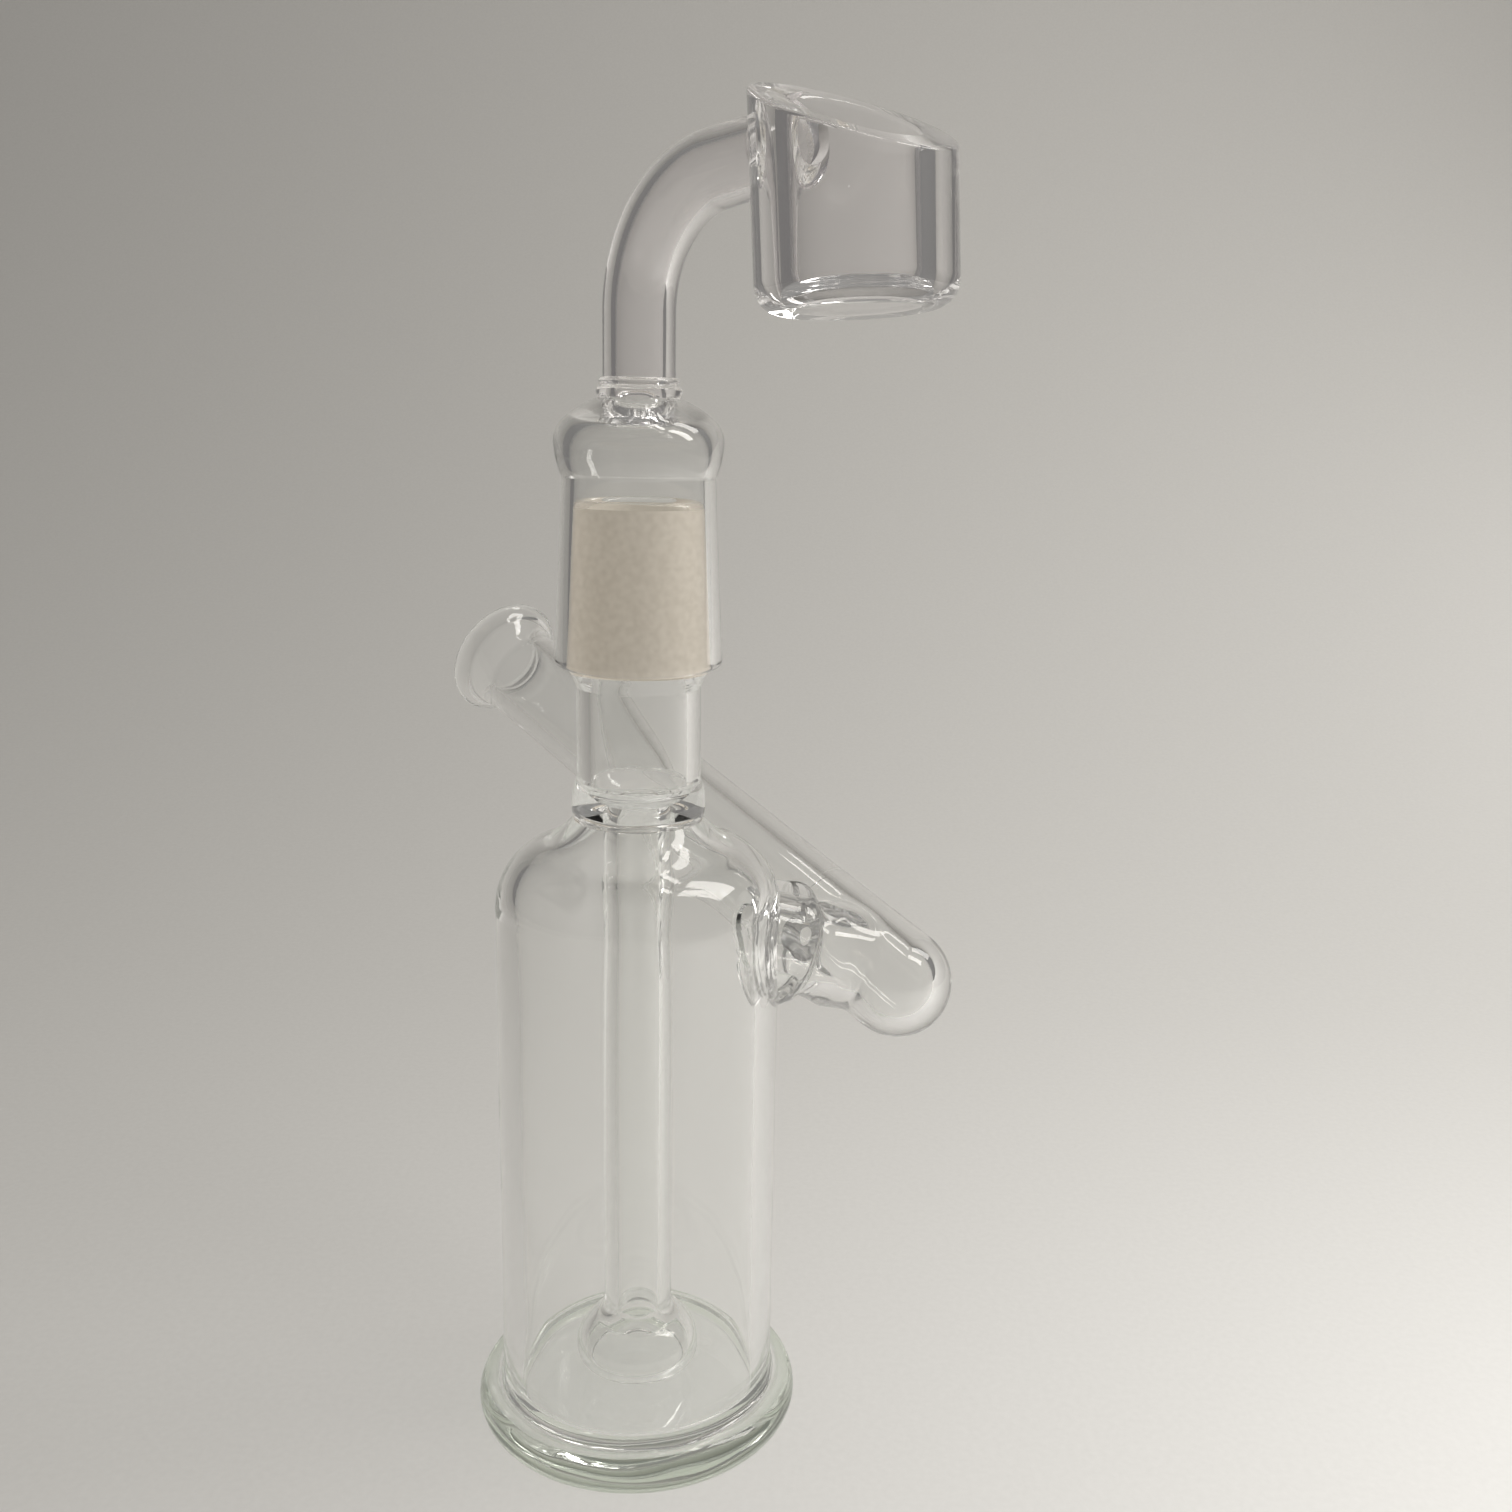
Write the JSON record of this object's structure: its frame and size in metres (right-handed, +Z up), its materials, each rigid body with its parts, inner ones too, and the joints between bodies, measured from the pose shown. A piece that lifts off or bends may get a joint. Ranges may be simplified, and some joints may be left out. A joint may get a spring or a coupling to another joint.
{
  "type": "glass bubbler",
  "caption": "Small blown-glass bubbler with a diffuser downstem, a slanted side mouthpiece, and a lift-off ground joint with a bent arm and a slanted quartz cup.",
  "frame": {"origin": "centre of the foot's underside, on the chamber's axis", "axes": "+Z up along the chamber's axis; +X towards the side port"},
  "size_m": [0.0671, 0.1227, 0.1767],
  "materials": {
    "clear_glass": "clear, fire-polished",
    "foot_glass": "clear, slightly green where it is thick",
    "ground_glass": "ground matt on the joint surface",
    "quartz": "clear, fire-polished"
  },
  "bodies": {
    "bubbler": {"foot_disc": "foot_glass", "base_weld_bead": "clear_glass", "chamber_tube": "clear_glass", "chamber_shoulder": "clear_glass", "neck_seal_ring": "clear_glass", "neck_tube": "clear_glass", "male_joint_flare": "clear_glass", "male_joint_cone": "ground_glass", "male_joint_tip": "clear_glass", "downstem_tube": "clear_glass", "diffuser_bell": "clear_glass", "side_port_weld_ring": "clear_glass", "side_port_stub": "clear_glass", "mouthpiece_closed_end": "clear_glass", "mouthpiece_tube": "clear_glass", "mouthpiece_lip": "clear_glass"},
    "socket": {"joint_socket": "clear_glass", "socket_shoulder": "clear_glass"},
    "cup_arm": {"arm_weld_bead": "quartz", "arm_tube": "quartz", "cup_weld_bead": "quartz", "cup_wall": "quartz", "cup_floor": "quartz"}
  },
  "joints": [
    {"name": "lift", "type": "slide", "parent": "bubbler", "child": "socket", "axis": [0, 0, 1], "range_m": [0, 0.03]},
    {"name": "turn", "type": "hinge", "parent": "socket", "child": "cup_arm", "pos_m": [0, 0, 0.1427], "axis": [0, 0, 1], "continuous": true}
  ]
}
